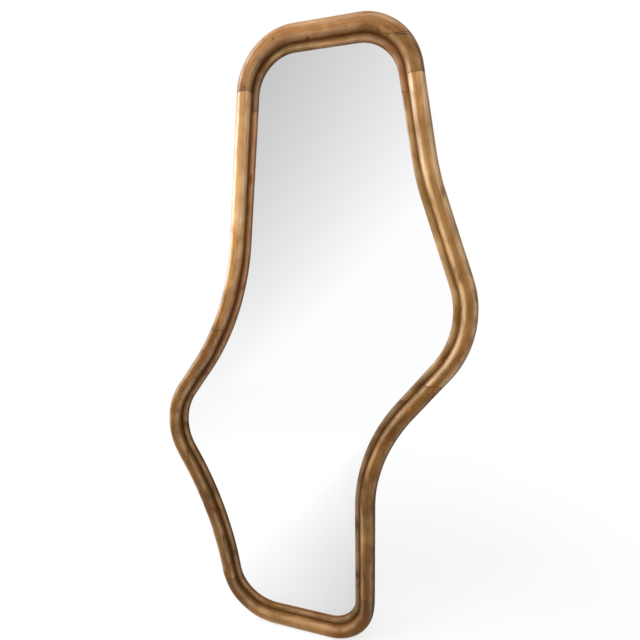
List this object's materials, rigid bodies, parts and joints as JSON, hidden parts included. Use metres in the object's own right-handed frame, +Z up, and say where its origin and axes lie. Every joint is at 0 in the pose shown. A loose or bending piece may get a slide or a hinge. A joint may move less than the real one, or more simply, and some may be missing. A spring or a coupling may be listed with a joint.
{
  "type": "irregular shaped mirror",
  "caption": "Tall freeform wall mirror in a rounded, jointed wooden frame with a stepped inner lip, and two swinging ring hangers on its back.",
  "frame": {"origin": "middle of the frame's outline, on its flat back face", "axes": "+Z up, +X to the viewer's right seen from the front, +Y back towards the wall; the mirror faces -Y"},
  "size_m": [0.6193, 0.034, 1.2],
  "materials": {
    "bar_wood": "waxed, satin, grain along each length",
    "lip_wood": "waxed, satin, grain along each length",
    "silvered_glass": "polished",
    "grey_card": "raw",
    "fibreboard": "raw hardboard, smooth",
    "yellow_zinc": "yellow zinc plate",
    "bright_zinc": "bright zinc plate",
    "black_rubber": "matte"
  },
  "bodies": {
    "frame": {"front_top_rail": "bar_wood", "front_top_right_block": "bar_wood", "front_right_rail": "bar_wood", "front_lower_right_rail": "bar_wood", "front_bottom_rail": "bar_wood", "front_lower_left_rail": "bar_wood", "front_left_rail": "bar_wood", "rear_top_rail": "lip_wood", "rear_right_rail": "lip_wood", "rear_lower_right_rail": "lip_wood", "rear_bottom_rail": "lip_wood", "rear_lower_left_rail": "lip_wood", "rear_left_rail": "lip_wood", "mirror_pane": "silvered_glass", "cardboard_pad": "grey_card", "backing_board": "fibreboard", "board_screws": "yellow_zinc", "hanger_screws": "bright_zinc", "hanger_strap_left": "bright_zinc", "hanger_strap_right": "bright_zinc", "wall_bumper_left": "black_rubber", "wall_bumper_right": "black_rubber"},
    "left_ring": {"hanger_ring_left": "bright_zinc"},
    "right_ring": {"hanger_ring_right": "bright_zinc"}
  },
  "joints": [
    {"name": "left_ring_swing", "type": "hinge", "parent": "frame", "child": "left_ring", "pos_m": [-0.11523, 0.0025, 0.45887], "axis": [0.9959, 0, -0.0902], "range_deg": [0, 178]},
    {"name": "right_ring_swing", "type": "hinge", "parent": "frame", "child": "right_ring", "pos_m": [0.20063, 0.0025, 0.45764], "axis": [0.982, 0, 0.1887], "range_deg": [0, 178]}
  ]
}
